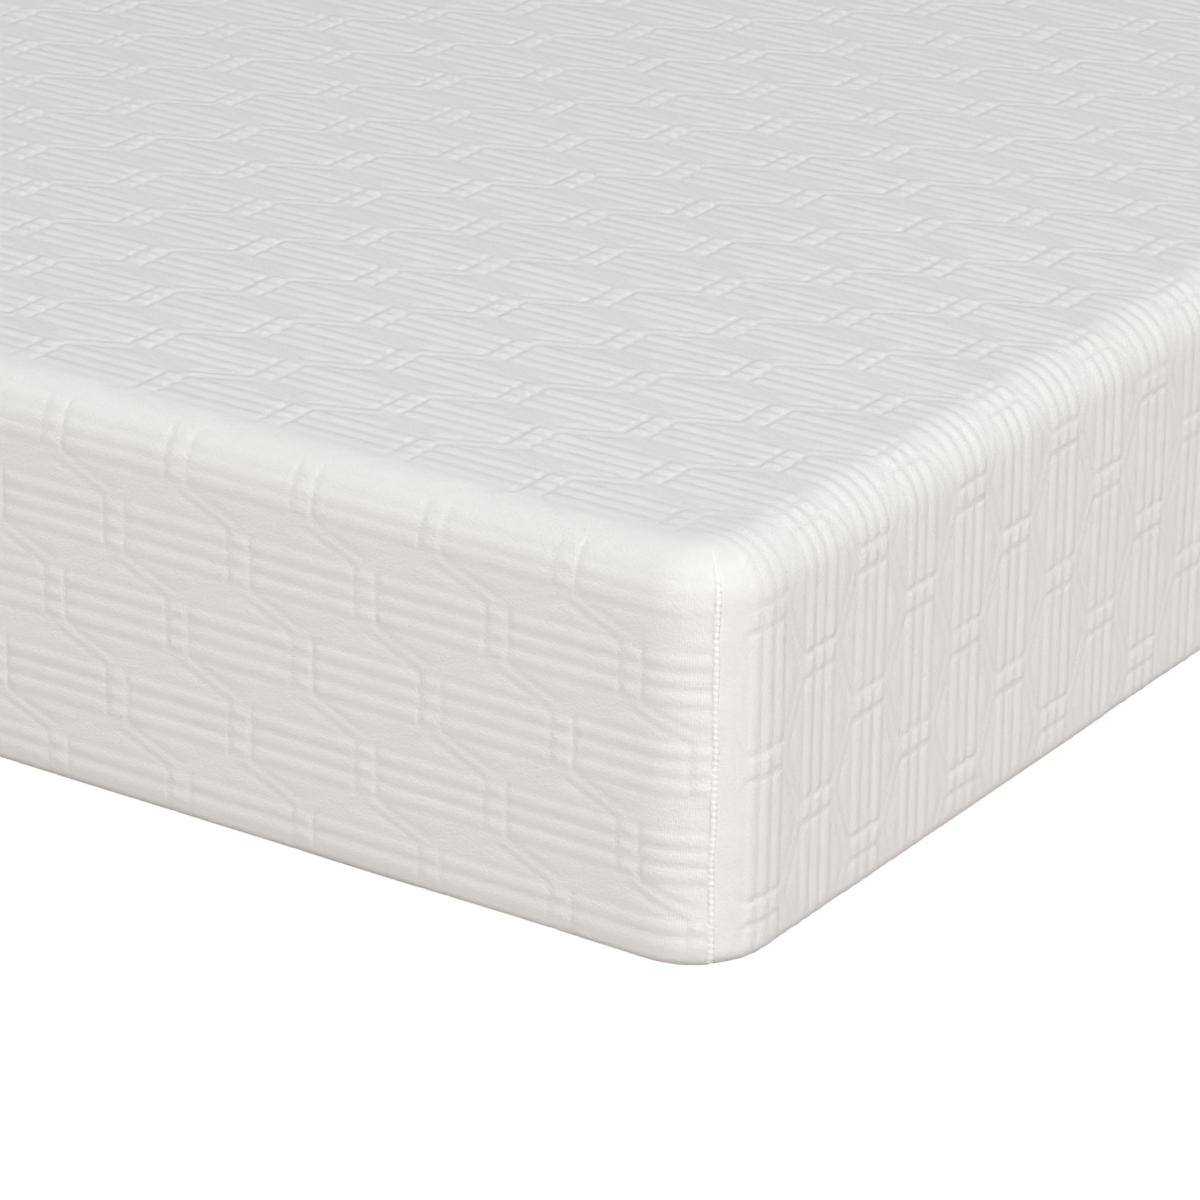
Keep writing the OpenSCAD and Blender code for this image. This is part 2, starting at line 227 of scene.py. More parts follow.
class Shell:
    """Rounded slab outside, addressed by fabric coordinates s along X and t along Y from its middle."""

    def __init__(self, lo, hi, corner_r, top_r, base_r, turn):
        self.mid = (lo + hi) / 2
        self.size = hi - lo
        self.z0, self.z1 = lo[2], hi[2]
        self.corner_r, self.top_r, self.base_r, self.turn = corner_r, top_r, base_r, turn
        self.s0 = self.size[0] / 2 - corner_r
        self.t0 = self.size[1] / 2 - corner_r
        self.flap = corner_r * math.pi / 4
        self.flat = corner_r - top_r
        self.d1 = self.flat + top_r * math.pi / 2
        self.wall = self.size[2] - top_r - base_r
        self.d2 = self.d1 + self.wall
        self.d3 = self.d2 + base_r * math.pi / 2
        self.end = self.d3 + turn

    def at_height(self, z):
        """Distance from the flat line down to height z on the upright wall."""
        return self.d1 + self.z1 - self.top_r - z

    def profile(self, d):
        """Offset outwards, height, and normal angle from upright, d beyond the flat line."""
        top = np.clip((d - self.flat) / self.top_r, 0, math.pi / 2)
        base = np.clip((d - self.d2) / self.base_r, 0, math.pi / 2)
        under = np.clip(d - self.d3, 0, self.turn)
        fold = np.clip(d - self.end, 0, None)
        out = np.minimum(d, self.flat) + self.top_r * np.sin(top) - self.base_r * (1 - np.cos(base)) - under
        z = (self.z1 - self.top_r * (1 - np.cos(top)) - np.clip(d - self.d1, 0, self.wall)
             - self.base_r * np.sin(base) + fold)
        return out, z, top + base + np.where(fold > 0, math.pi / 2, 0)

    def place(self, s, t):
        """Points and outward normals of fabric coordinates s and t."""
        a, b = np.abs(s) - self.s0, np.abs(t) - self.t0
        far, near = np.maximum(a, b), np.clip(np.minimum(a, b), 0, None)
        angle = math.pi / 4 * near / np.clip(far, 1e-9, self.flap)
        angle = np.where(near > 0, np.minimum(angle, math.pi / 4), 0.0)
        dx = np.where(a >= b, np.cos(angle), np.sin(angle)) * np.sign(s)
        dy = np.where(a >= b, np.sin(angle), np.cos(angle)) * np.sign(t)
        out, z, lean = self.profile(np.clip(far, 0, None))
        out = np.where(far > 0, out, 0)
        x = np.sign(s) * np.minimum(np.abs(s), self.s0) + out * dx + self.mid[0]
        y = np.sign(t) * np.minimum(np.abs(t), self.t0) + out * dy + self.mid[1]
        normal = np.stack([np.sin(lean) * dx, np.sin(lean) * dy, np.cos(lean)], -1)
        return np.stack([x, y, z], -1), normal

    def lines(self, half, graded, flap_lines):
        """Grid lines along one axis: the flat part as given, and the flap's lines on both sides."""
        low = -half - flap_lines[::-1]
        return np.concatenate([low, graded[1:-1], half + flap_lines])

    def flap_grid(self, pitch, breaks=(), fold=0.0):
        """Lines of a flap from the flat line to its hem, with every break on a line."""
        marks = sorted({0.0, self.flat, self.flap, self.d1, self.d2, self.d3, self.end, *breaks})
        marks = [m for m in marks if m <= self.end + 1e-6]
        grid = spaced(marks, pitch)
        return np.concatenate([grid, [self.end + fold]]) if fold else grid

    def mesh(self, s_lines, t_lines):
        """Fabric coordinates of the grid points, and its quads with the corner flaps joined."""
        s, t = np.meshgrid(s_lines, t_lines, indexing="ij")
        rows, cols = s.shape
        index = np.arange(rows * cols).reshape(rows, cols)
        count = int(np.sum(s_lines > self.s0 + self.flap + 1e-6))
        edge_s = (count, rows - 1 - count)
        edge_t = (count, cols - 1 - count)
        weld = index.copy()
        for i in range(1, count + 1):
            for si, so in ((edge_s[0], edge_s[0] - i), (edge_s[1], edge_s[1] + i)):
                for ti, to in ((edge_t[0], edge_t[0] - i), (edge_t[1], edge_t[1] + i)):
                    weld[so, ti] = weld[si, to]
        quads = np.stack([index[:-1, :-1], index[1:, :-1], index[1:, 1:], index[:-1, 1:]], -1)
        cut = (np.abs((s_lines[1:] + s_lines[:-1]) / 2) > self.s0 + self.flap)[:, None] & (
            np.abs((t_lines[1:] + t_lines[:-1]) / 2) > self.t0 + self.flap)[None, :]
        return s.ravel(), t.ravel(), quads[~cut], weld.ravel()


def spaced(marks, pitch):
    """Lines through every mark, at most pitch apart."""
    parts = [np.linspace(a, b, max(1, math.ceil((b - a) / pitch - 1e-6)), endpoint=False)
             for a, b in zip(marks[:-1], marks[1:])]
    return np.concatenate(parts + [[marks[-1]]])


# ---------- the knit's relief ----------

def dome(u):
    """Puffed rib's section: 1 on its centre line and 0 at its edges."""
    return np.clip(1 - u * u, 0, 1) ** 0.9


def knit_relief(s, t, slant):
    """Height of the honeycomb knit in millimetres, 0 on the flat knit; slant deepens one pair of diagonals."""
    row = np.round((t - CELL_T) / ROW_P)
    best = np.full(s.shape, -1e9)
    x, y, cell = np.zeros_like(s), np.zeros_like(s), np.zeros_like(s)
    slope = (ROW_P / 3) / (CELL_P / 2)
    for shift in (-1, 0, 1):
        r = row + shift
        centre = CELL_S + np.where(r % 2 == 0, 0, CELL_P / 2)
        k = np.round((s - centre) / CELL_P)
        dx = s - centre - k * CELL_P
        dy = t - CELL_T - r * ROW_P
        inside = ROW_P * 2 / 3 - np.abs(dy) - slope * np.abs(dx)
        take = inside > best
        best = np.where(take, inside, best)
        x, y = np.where(take, dx, x), np.where(take, dy, y)
        cell = np.where(take, r * 37 + k * 11, cell)
    diagonal = best / math.sqrt(1 + slope * slope)
    side = CELL_P / 2 - np.abs(x)
    ax, ay = np.abs(x), np.abs(y)
    field = step(BAND_HALF, BAND_HALF + EDGE_SOFT, side) * step(DIAGONAL_HALF, DIAGONAL_HALF + EDGE_SOFT, diagonal)
    vary = 1 + 0.03 * np.sin(cell * 2.4) + 0.04 * np.sin(x * 0.21 + cell)
    ribs = np.maximum(RIB_H * dome((ay - RIB_AT) / RIB_HALF), THIN_H * dome(y / THIN_HALF)) * vary
    tip = TIP_LEVEL + SHORT_H * dome((ay - SHORT_AT) / SHORT_HALF) * step(SHORT_LEN, SHORT_LEN - 4, ax)
    in_tip = step(RIB_AT + RIB_HALF, RIB_AT + RIB_HALF + 1.6, ay)
    inner = ribs * (1 - in_tip) + tip * in_tip
    bumps = np.maximum(dome(y / LADDER_MID_HALF), dome((ay - RIB_AT) / LADDER_SIDE_HALF))
    ladder = LADDER_H * bumps * step(BAND_HALF - 1.0, BAND_HALF - 3.0, side) * step(1.5, 3.5, diagonal)
    h = (BAND_LEVEL + ladder) * (1 - field) + inner * field

    def groove(gap, along):
        return np.exp(-((gap - GROOVE_OUT) / GROOVE_W) ** 2) * step(-1.0, EDGE_SOFT, along)

    to_side, to_diagonal = side - BAND_HALF, diagonal - DIAGONAL_HALF
    pair = PAIR_MEAN + PAIR_SPREAD * slant * np.tanh(x / PAIR_SOFT) * np.sign(y)
    return h - GROOVE_D * np.maximum(groove(to_side, to_diagonal), pair * groove(to_diagonal, to_side))


def soft_undulation(s, t, reach, seam_gap):
    """Broad unevenness of the cover over the foam, and small puckers beside the corner seams."""
    broad = 0.45 * value_noise(s, t, 96.0, 3) + 0.2 * value_noise(s + 900, t, 41.0, 4)
    pucker = 0.3 * np.sin(reach / 5.3 + 1.3 * value_noise(s, t, 23.0, 5)) * np.exp(-seam_gap / 9.0)
    return broad + pucker


# ---------- materials ----------

class Graph:
    """Short helper to build a node material."""

    def __init__(self, name, color, roughness, sheen=0.0, metallic=0.0, specular=0.5):
        self.material = bpy.data.materials.new(name)
        self.material.use_nodes = True
        self.tree = self.material.node_tree
        self.tree.nodes.clear()
        self.out = self.add("ShaderNodeOutputMaterial")
        self.shader = self.add("ShaderNodeBsdfPrincipled")
        self.link(self.shader.outputs[0], self.out.inputs[0])
        self.set(self.shader, "Base Color", (*color, 1))
        self.set(self.shader, "Roughness", roughness)
        self.set(self.shader, "Metallic", metallic)
        self.set(self.shader, "Sheen Weight", sheen)
        self.set(self.shader, "Specular IOR Level", specular)
        self.material.diffuse_color = (*color, 1)

    def add(self, kind, **settings):
        node = self.tree.nodes.new(kind)
        for key, value in settings.items():
            setattr(node, key, value)
        return node

    def link(self, a, b):
        self.tree.links.new(a, b)

    def set(self, node, name, value):
        node.inputs[name].default_value = value

    def uv(self):
        return self.add("ShaderNodeUVMap", uv_map="fabric").outputs[0]

    def place(self):
        return self.add("ShaderNodeTexCoord").outputs["Object"]

    def mapped(self, source, scale, turn=(0, 0, 0)):
        node = self.add("ShaderNodeMapping")
        self.link(source, node.inputs["Vector"])
        self.set(node, "Scale", scale)
        self.set(node, "Rotation", turn)
        return node.outputs[0]

    def noise(self, source, scale, detail=3.0, roughness=0.55):
        node = self.add("ShaderNodeTexNoise")
        self.link(source, node.inputs["Vector"])
        self.set(node, "Scale", scale)
        self.set(node, "Detail", detail)
        self.set(node, "Roughness", roughness)
        return node.outputs[0]

    def wave(self, source, scale, direction, distortion):
        node = self.add("ShaderNodeTexWave", wave_type="BANDS", bands_direction=direction)
        self.link(source, node.inputs["Vector"])
        self.set(node, "Scale", scale)
        self.set(node, "Distortion", distortion)
        return node.outputs["Fac"]

    def cells(self, source, scale):
        node = self.add("ShaderNodeTexVoronoi")
        self.link(source, node.inputs["Vector"])
        self.set(node, "Scale", scale)
        return node.outputs["Distance"]

    def value(self, attribute):
        return self.add("ShaderNodeAttribute", attribute_name=attribute).outputs["Fac"]

    def math(self, operation, a, b):
        node = self.add("ShaderNodeMath", operation=operation)
        for socket, v in zip(node.inputs, (a, b)):
            self.feed(socket, v)
        return node.outputs[0]

    def feed(self, socket, v):
        """Gives a socket a number, a colour, or another node's output."""
        if isinstance(v, (int, float)):
            socket.default_value = v
        elif isinstance(v, tuple):
            socket.default_value = (*v, 1)
        else:
            self.link(v, socket)

    def ranged(self, source, low, high, to_low=0.0, to_high=1.0):
        node = self.add("ShaderNodeMapRange")
        self.link(source, node.inputs[0])
        for name, v in zip(("From Min", "From Max", "To Min", "To Max"), (low, high, to_low, to_high)):
            self.set(node, name, v)
        return node.outputs[0]

    def mix(self, factor, a, b):
        node = self.add("ShaderNodeMix", data_type="RGBA")
        colours = [i for i in node.inputs if i.type == "RGBA"]
        self.feed(node.inputs[0], factor)
        for socket, v in zip(colours, (a, b)):
            self.feed(socket, v)
        return [o for o in node.outputs if o.type == "RGBA"][0]

    def color(self, source):
        self.link(source, self.shader.inputs["Base Color"])

    def rough(self, source):
        self.link(source, self.shader.inputs["Roughness"])

    def bump(self, height, distance, strength):
        node = self.add("ShaderNodeBump")
        self.set(node, "Strength", strength)
        self.set(node, "Distance", distance)
        self.link(height, node.inputs["Height"])
        self.link(node.outputs[0], self.shader.inputs["Normal"])


KNIT = (0.80, 0.797, 0.788)


def shaded(color, share):
    return tuple(c * share for c in color)


def knit_material():
    """White jacquard knit: fine loops, fluff, and painted shade that slightly darkens the grooves' colour."""
    g = Graph("cover_knit", KNIT, 0.82, sheen=0.18, specular=0.25)
    uv = g.uv()
    loops = g.math("MULTIPLY", g.wave(uv, 255.0, "X", distortion=2.5), g.wave(uv, 330.0, "Y", distortion=2.5))
    fluff = g.noise(uv, 620.0, detail=4.0, roughness=0.62)
    broad = g.noise(uv, 9.0, detail=3.0, roughness=0.5)
    # Painted shade: where the knit's relief is low, in its grooves, the base colour is darkened
    shade = g.mix(g.ranged(g.value("relief"), -0.35, 0.4), shaded(KNIT, 0.93), KNIT)
    warm = tuple(c * f for c, f in zip(KNIT, (1.0, 0.99, 0.975)))
    shade = g.mix(g.ranged(broad, 0.35, 0.65, 0.0, 0.35), shade, warm)
    g.color(g.mix(g.ranged(fluff, 0.3, 0.75, 0.0, 0.16), shade, shaded(KNIT, 0.82)))
    g.rough(g.ranged(fluff, 0.3, 0.7, 0.76, 0.9))
    g.bump(g.math("ADD", g.math("MULTIPLY", loops, 0.15), fluff), distance=0.0007, strength=0.8)
    return g.material


def thread_material():
    """Soft thread: twisted strands and fluff."""
    color = (0.87, 0.862, 0.85)
    g = Graph("seam_thread", color, 0.75, sheen=0.25, specular=0.3)
    place = g.place()
    strands = g.wave(g.mapped(place, (1, 1, 1), (0.6, 0.5, 0.7)), 420.0, "X", distortion=2.0)
    fluff = g.noise(place, 1500.0, detail=3.0)
    g.color(g.mix(g.ranged(strands, 0.2, 0.9), shaded(color, 0.94), color))
    g.rough(g.ranged(fluff, 0.3, 0.7, 0.65, 0.85))
    g.bump(g.math("ADD", strands, fluff), distance=0.00012, strength=0.6)
    return g.material


def cloth_material(name, color, pitch, sheen=0.1):
    """Plain woven cloth with warp and weft of the given pitch, in metres."""
    g = Graph(name, color, 0.8, sheen=sheen, specular=0.25)
    place = g.place()
    scale = 1 / pitch / 3.2
    warp, weft = g.wave(place, scale, "X", distortion=0.6), g.wave(place, scale, "Y", distortion=0.6)
    weave = g.math("MAXIMUM", warp, weft)
    fluff = g.noise(place, 900.0, detail=3.0)
    g.color(g.mix(g.ranged(g.math("MULTIPLY", weave, fluff), 0.15, 0.6), shaded(color, 0.86), color))
    g.rough(g.ranged(fluff, 0.3, 0.7, 0.72, 0.88))
    g.bump(g.math("ADD", weave, g.math("MULTIPLY", fluff, 0.4)), distance=0.00025, strength=0.7)
    return g.material


def foam_material(name, color, cell):
    """Open-cell foam with cells of the given size in metres."""
    g = Graph(name, color, 0.92, sheen=0.05, specular=0.15)
    place = g.place()
    pores = g.cells(place, 1 / cell)
    broad = g.noise(place, 14.0, detail=2.0)
    base = g.mix(g.ranged(broad, 0.3, 0.7), color, shaded(color, 0.94))
    g.color(g.mix(g.ranged(pores, 0.1, 0.6), shaded(color, 0.78), base))
    g.bump(pores, distance=cell * 0.6, strength=0.8)
    return g.material


def film_material(name, color):
    """Sprayed adhesive: droplets and strings on a thin film."""
    g = Graph(name, color, 0.45, specular=0.45)
    drops = g.cells(g.place(), 320.0)
    g.color(g.mix(g.ranged(drops, 0.1, 0.7), color, shaded(color, 0.88)))
    g.rough(g.ranged(drops, 0.1, 0.7, 0.3, 0.6))
    g.bump(drops, distance=0.0004, strength=0.6)
    return g.material


def nylon_material():
    """Satin nylon monofilament."""
    g = Graph("zip_nylon", (0.85, 0.85, 0.84), 0.38, specular=0.5)
    grain = g.noise(g.place(), 2400.0, detail=2.0)
    g.color(g.mix(g.ranged(grain, 0.3, 0.7), (0.82, 0.82, 0.81), (0.87, 0.87, 0.86)))
    g.rough(g.ranged(grain, 0.3, 0.7, 0.32, 0.45))
    g.bump(grain, distance=0.00004, strength=0.5)
    return g.material


def metal_material():
    """Nickel-plated zinc with fine rubbing marks."""
    g = Graph("zip_metal", (0.62, 0.62, 0.63), 0.3, metallic=1.0)
    place = g.place()
    streaks = g.noise(g.mapped(place, (300.0, 4000.0, 4000.0)), 1.0, detail=3.0)
    wear = g.noise(place, 700.0, detail=3.0)
    g.color(g.mix(g.ranged(wear, 0.35, 0.7), (0.60, 0.60, 0.61), (0.68, 0.67, 0.66)))
    g.rough(g.ranged(streaks, 0.3, 0.7, 0.22, 0.42))
    g.bump(streaks, distance=0.00003, strength=0.4)
    return g.material


def satin_material():
    """Blank satin ribbon with fine cross ribs."""
    g = Graph("label_satin", (0.88, 0.88, 0.87), 0.35, sheen=0.3, specular=0.5)
    place = g.place()
    warp = g.wave(place, 620.0, "X", distortion=0.3)
    weft = g.wave(place, 800.0, "Z", distortion=0.3)
    g.color(g.mix(warp, (0.84, 0.84, 0.83), (0.90, 0.90, 0.89)))
    g.rough(g.ranged(weft, 0.0, 1.0, 0.28, 0.42))
    g.bump(g.math("ADD", warp, weft), distance=0.00006, strength=0.5)
    return g.material


# ---------- cover ----------

def cover_shell():
    lo, hi = box_mm("cover_top_border", "cover_head_strip")
    return Shell(lo, hi, CORNER_R, TOP_EDGE_R, BASE_EDGE_R, TURN_UNDER - BASE_EDGE_R)


def cover_relief(shell, s, t):
    """Displacement of the cover along its normal, and the knit's own height."""
    a, b = np.abs(s) - shell.s0, np.abs(t) - shell.t0
    reach = np.maximum(a, b)
    in_corner = (a > 0) & (b > 0)
    seam_gap = np.where(in_corner, np.maximum(shell.flap - np.minimum(a, b), 0), 1e3)
    long_side = (a > b) & (a > 0)

    plain_strip = STRIP_LOSS * step(21, 30, b) * step(20, 34, a) * long_side
    plain_corner = CORNER_LOSS * step(70, 25, np.hypot(a - 20, b - 20)) * step(shell.d1 + 40, shell.d1, reach)
    plain_edge = EDGE_LOSS * np.exp(-((b - 34) / 22.0) ** 2) * ~long_side
    on_base = step(shell.d2 - 4, shell.d2 + 6, reach)
    on_top = step(shell.d1, shell.flat - 30, reach)
    gain = 1 + (TOP_GAIN - 1) * on_top
    keep = gain * (1 - plain_strip) * (1 - plain_corner) * (1 - plain_edge) * (1 - BASE_LOSS * on_base)

    slant = ~long_side * (1 - on_top) - on_top
    relief = FADED_LEVEL + (knit_relief(s, t, slant) - FADED_LEVEL) * keep
    at_seam = np.where(reach > shell.flap - 8, np.exp(-(seam_gap / SEAM_DIP_W) ** 2), 0.0)
    relief = relief * (1 - at_seam) + np.where(long_side, SEAM_LEVEL_LONG, SEAM_LEVEL_SHORT) * at_seam
    hem = step(shell.end - 1.0, shell.end - 5.0, reach)
    move = (relief + soft_undulation(s, t, reach, seam_gap) - RELIEF_MEAN) * hem
    move -= np.clip(move, 0, None) * on_base
    return np.where(reach > shell.end, 0.0, move), relief


def add_cover(shell, material):
    """Cover's top and border, and its strip below the zip, from one knitted grid."""
    slot = [shell.at_height(SLOT_Z1), shell.at_height(SLOT_Z0)]
    flap = shell.flap_grid(PITCH, slot, COVER_T)
    s_lines = shell.lines(shell.s0, spaced([-shell.s0, -SLOT_HALF, SLOT_HALF, shell.s0], PITCH), flap)
    t_lines = shell.lines(shell.t0, spaced([-shell.t0, shell.t0], PITCH), flap)
    s, t, quads, weld = shell.mesh(s_lines, t_lines)
    points, normal = shell.place(s, t)
    move, relief = cover_relief(shell, s, t)
    points = points + normal * move[:, None]

    centre_s, centre_t = s[quads].mean(1), t[quads].mean(1)
    drop = centre_t - shell.t0
    in_zip = (np.abs(centre_s) < SLOT_HALF) & (drop > slot[0])
    hole = in_zip & (drop < slot[1])
    for name, mask in (("cover_top_border", ~in_zip), ("cover_head_strip", in_zip & ~hole)):
        face = quads[mask]
        uv = np.stack([s[face], t[face]], -1).reshape(-1, 2)
        lip_faces, lip_points, lip_uv = slot_lip(shell, s, t, points, normal, s_lines, t_lines, slot, name)
        face = weld[face]
        every = np.concatenate([face, lip_faces])
        all_points = np.concatenate([points, lip_points])
        all_relief = np.concatenate([relief, np.zeros(len(lip_points))])
        p, f, r = compact(all_points, every, all_relief)
        obj = new_piece(name, p, f, material, name, np.concatenate([uv, lip_uv]), r)


def slot_lip(shell, s, t, points, normal, s_lines, t_lines, slot, name):
    """Turned-in edge of the zip's slot: quads from the slot's edge inwards by the cover's thickness."""
    cols = len(t_lines)
    i0 = int(np.argmin(np.abs(s_lines + SLOT_HALF)))
    i1 = int(np.argmin(np.abs(s_lines - SLOT_HALF)))
    j0 = int(np.argmin(np.abs(t_lines - shell.t0 - slot[0])))
    j1 = int(np.argmin(np.abs(t_lines - shell.t0 - slot[1])))
    along = np.arange(i0, i1 + 1)
    if name == "cover_top_border":
        upper = along * cols + j0
        left = i0 * cols + np.arange(j1, j0, -1)
        right = i1 * cols + np.arange(j0 + 1, j1 + 1)
        edge = np.concatenate([left, upper, right])
    else:
        edge = (along * cols + j1)[::-1]
    inner = points[edge] - normal[edge] * (COVER_T - 0.5)
    base = len(points)
    n = np.arange(len(edge) - 1)
    faces = np.stack([edge[:-1], edge[1:], base + n + 1, base + n], -1)
    uv = np.stack([s[edge], t[edge]], -1)
    lip_uv = np.stack([uv[:-1], uv[1:], uv[1:], uv[:-1]], 1).reshape(-1, 2)
    return faces, inner, lip_uv


def add_corner_seam(shell, name, sign_x, sign_y, material):
    """Raised overlocked seam down a corner, wrapped with slanting stitches."""
    sweep_top = math.asin(TOP_EDGE_R / (TOP_EDGE_R + SEAM_H + 0.1)) - math.radians(2)
    start = shell.flat + TOP_EDGE_R * (math.pi / 2 - sweep_top)
    stop = shell.d2 + BASE_EDGE_R * math.radians(60)
    diagonal = np.array([sign_x, sign_y, 0]) / math.sqrt(2)
    side = np.array([-sign_y, sign_x, 0]) / math.sqrt(2)
    centre = np.array([sign_x * shell.s0 + shell.mid[0], sign_y * shell.t0 + shell.mid[1], 0])

    def rail(d):
        """The corner's line at d beyond the flat line, and the way out of the cloth there."""
        out, z, lean = shell.profile(d)
        line = centre + out[:, None] * diagonal + z[:, None] * UP
        return line, np.sin(lean)[:, None] * diagonal + np.cos(lean)[:, None] * UP

    def sway(d):
        return sum(size * np.sin(d / length) for size, length in SWAY)

    d = np.arange(start, stop, 0.5)
    path, up = rail(d)
    fade = np.minimum(step(0, 26, d - start), step(0, 5, stop - d))
    swell = 1 + 0.10 * np.sin(2 * math.pi * d / SEAM_PITCH) + 0.05 * np.sin(d / 11.0)
    parts = [tube(path + sway(d)[:, None] * side + up * (-1.1 + 0.75 * fade)[:, None],
                  np.broadcast_to(side, path.shape), up,
                  SEAM_W / 2 * swell * (0.45 + 0.55 * fade), SEAM_H * swell * (0.5 + 0.5 * fade), 12)]
    wrap = np.linspace(-1.25, 1.25, 9)
    for k in np.arange(start + 20, stop - 4, SEAM_PITCH):
        line, up = rail(k + 1.3 * wrap / 1.25)
        line = line + side * (SEAM_W / 2 * np.sin(wrap) + sway(k))[:, None]
        line = line + up * ((SEAM_H + 0.04) * np.cos(wrap) - 0.30)[:, None]
        along = unit(np.gradient(line, axis=0))
        across = unit(np.cross(along, up))
        parts.append(tube(line, across, np.cross(across, along), 0.24, 0.12, 6))
    points, faces = joined_tubes(parts)
    new_piece(name, points, faces, material, name)


def outline(half_x, half_y, mid, r, pitch):
    """Points round a rectangle with round corners, and the outward direction at each."""
    corners = np.array([(1, 1), (-1, 1), (-1, -1), (1, -1)]) * np.array([half_x - r, half_y - r])
    arc = np.linspace(0, 90, max(6, int(r * math.pi / 2 / pitch)), endpoint=False)
    points, normals = [], []
    for k in range(4):
        angle = np.radians(90 * k + arc)
        out = np.stack([np.cos(angle), np.sin(angle)], -1)
        turned = np.radians(90 * (k + 1))
        facing = np.array([math.cos(turned), math.sin(turned)])
        a, b = corners[k] + r * facing, corners[(k + 1) % 4] + r * facing
        m = int(np.linalg.norm(b - a) / pitch)
        points += [corners[k] + r * out, a + (b - a) * np.linspace(0, 1, m, endpoint=False)[:, None]]
        normals += [out, np.broadcast_to(facing, (m, 2))]
    return np.concatenate(points) + np.array(mid), np.concatenate(normals)


def add_base_seam(material):
    """Overlocked seam between the cover's hem and the base cloth."""
    lo, hi = box_mm("base_seam")
    width = (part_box("base_seam")[1][0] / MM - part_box("base_panel")[1][0] / MM)
    pts, out = outline(hi[0] - width / 2, (hi[1] - lo[1]) / 2 - width / 2, [0, (lo[1] + hi[1]) / 2],
                       CORNER_R - TURN_UNDER - width / 2, 1.25)
    n = len(pts)
    k = np.arange(n)
    mid_z = (lo[2] + hi[2]) / 2
    path = np.concatenate([pts, np.full((n, 1), mid_z)], 1)
    across = np.concatenate([out, np.zeros((n, 1))], 1)
    up = np.broadcast_to(UP, (n, 3))
    turns = round(n / 4)
    swell = 0.93 + 0.07 * np.sin(2 * math.pi * k * turns / n)
    points, quads, _ = tube(path, across, up, width / 2 * swell, (hi[2] - lo[2]) / 2 * swell, 14, closed=True)
    new_piece("base_seam", points, quads, material, "base_seam")


# Base cloth's mesh pitch, and its non-slip dots: pitch, then radius and height of each ring, and the tip
BASE_PITCH = 9.0
DOT_PITCH, DOT_SIDES = 18.0, 8
DOT_RINGS, DOT_TIP = ((1.7, 0.05), (1.5, -0.35), (0.9, -0.6)), -0.68


def base_height(x, y, slack):
    return 1.1 + 0.35 * value_noise(x, y, 70.0, 9) * slack


def add_base_panel(material, dot_material):
    """Woven base cloth, slightly slack between the seams, with non-slip dots."""
    lo, hi = box_mm("base_panel")
    half, mid = (hi - lo) / 2, (hi + lo) / 2
    r = CORNER_R - TURN_UNDER - 4.0
    xs = spaced([-half[0], -half[0] + r, half[0] - r, half[0]], BASE_PITCH)
    ys = spaced([-half[1], -half[1] + r, half[1] - r, half[1]], BASE_PITCH)
    x, y = np.meshgrid(xs, ys, indexing="ij")
    ax, ay = np.abs(x) - half[0] + r, np.abs(y) - half[1] + r
    reach = np.maximum(np.maximum(ax, ay), 1e-9)
    length = np.maximum(np.hypot(np.maximum(ax, 0), np.maximum(ay, 0)), 1e-9)
    in_corner = (ax > 0) & (ay > 0)
    x = np.where(in_corner, np.sign(x) * (half[0] - r + ax * reach / length), x)
    y = np.where(in_corner, np.sign(y) * (half[1] - r + ay * reach / length), y)
    edge = np.minimum(half[0] - np.abs(x), half[1] - np.abs(y))
    z = base_height(x, y, step(0, 30, edge))
    lower = np.stack([x, y + mid[1], z], -1)
    points, quads = closed_sheet(lower, lower + np.array([0, 0, BASE_CLOTH_T]))
    obj = new_piece("base_panel", points, quads[:, ::-1], material, "base_panel")

    gx, gy = (np.arange(-h + 14, h - 13, DOT_PITCH) for h in half[:2])
    cx, cy = (v.ravel() for v in np.meshgrid(gx, gy, indexing="ij"))
    cx = cx + np.where(np.round((cy - gy[0]) / DOT_PITCH) % 2 == 0, 0, DOT_PITCH / 2)
    keep = np.abs(cx) < half[0] - 12
    cx, cy = cx[keep], cy[keep]
    a = np.linspace(0, 2 * math.pi, DOT_SIDES, endpoint=False)
    dot = np.concatenate([np.stack([q * np.cos(a), q * np.sin(a), np.full(DOT_SIDES, h)], -1)
                          for q, h in DOT_RINGS] + [np.array([[0, 0, DOT_TIP]])])
    offset = np.stack([cx, cy + mid[1], base_height(cx, cy, 1.0)], -1)
    points = (offset[:, None] + dot[None]).reshape(-1, 3)
    quad = grid_faces(len(DOT_RINGS), DOT_SIDES, closed=True)
    last = (len(DOT_RINGS) - 1) * DOT_SIDES
    tip = np.array([[last + i, last + (i + 1) % DOT_SIDES, last + DOT_SIDES] for i in range(DOT_SIDES)])
    starts = (np.arange(len(cx)) * len(dot))[:, None, None]
    new_piece("base_grip_dots", points, [(quad + starts).reshape(-1, 4), (tip + starts).reshape(-1, 3)],
              dot_material)


# ---------- sock and foams ----------

# How far a slab's halves reach past the middle
MEET = 1e-3


